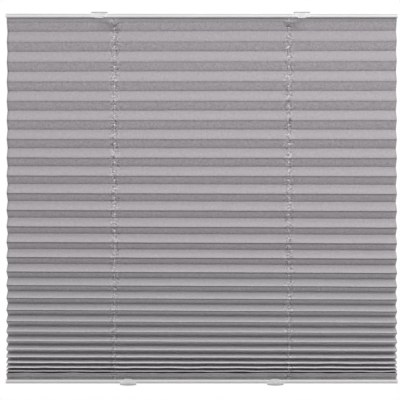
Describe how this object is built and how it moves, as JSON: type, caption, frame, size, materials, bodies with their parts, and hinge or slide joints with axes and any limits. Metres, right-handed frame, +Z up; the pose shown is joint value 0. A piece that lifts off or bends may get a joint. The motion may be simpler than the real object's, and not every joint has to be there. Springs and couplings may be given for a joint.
{
  "type": "pleated blind",
  "caption": "Pleated cloth blind with a fixed top rail on clear clips and a bottom rail that slides up two cords and stays where it is left.",
  "frame": {"origin": "middle of the plane that the top clips' crowns are fixed to", "axes": "+X along the rails, -Y towards the room, +Z up"},
  "size_m": [0.7, 0.026, 0.6653],
  "materials": {
    "white_rail": "white powder coat, satin",
    "white_cap": "moulded white, semi-gloss",
    "clear_clip": "clear moulded polycarbonate",
    "grey_cloth": "crushed pleated polyester, matt",
    "pale_cord": "braided polyester",
    "spring_steel": "drawn spring wire",
    "white_nylon": "moulded nylon"
  },
  "bodies": {
    "top_assembly": {"top_rail": "white_rail", "top_strip": "white_nylon", "tension_spring": "spring_steel", "pleated_cloth": "grey_cloth", "top_cap_left": "white_cap", "top_cap_right": "white_cap", "top_clip_left": "clear_clip", "top_clip_right": "clear_clip", "cord_left": "pale_cord", "cord_right": "pale_cord", "cord_guide_left": "white_nylon", "cord_guide_right": "white_nylon", "cord_bead_left": "clear_clip", "cord_bead_right": "clear_clip"},
    "bottom_assembly": {"bottom_rail": "white_rail", "bottom_strip": "white_nylon", "bottom_cap_left": "white_cap", "bottom_cap_right": "white_cap", "bottom_clip_left": "clear_clip", "bottom_clip_right": "clear_clip", "brake_housing_left": "white_nylon", "brake_housing_right": "white_nylon", "brake_shoe_left": "white_nylon", "brake_shoe_right": "white_nylon", "brake_spring_left": "spring_steel", "brake_spring_right": "spring_steel"}
  },
  "joints": [
    {"name": "bottom_rail_slide", "type": "slide", "parent": "top_assembly", "child": "bottom_assembly", "axis": [0, 0, 1], "range_m": [0, 0.59], "deforming": ["pleated_cloth"]}
  ]
}
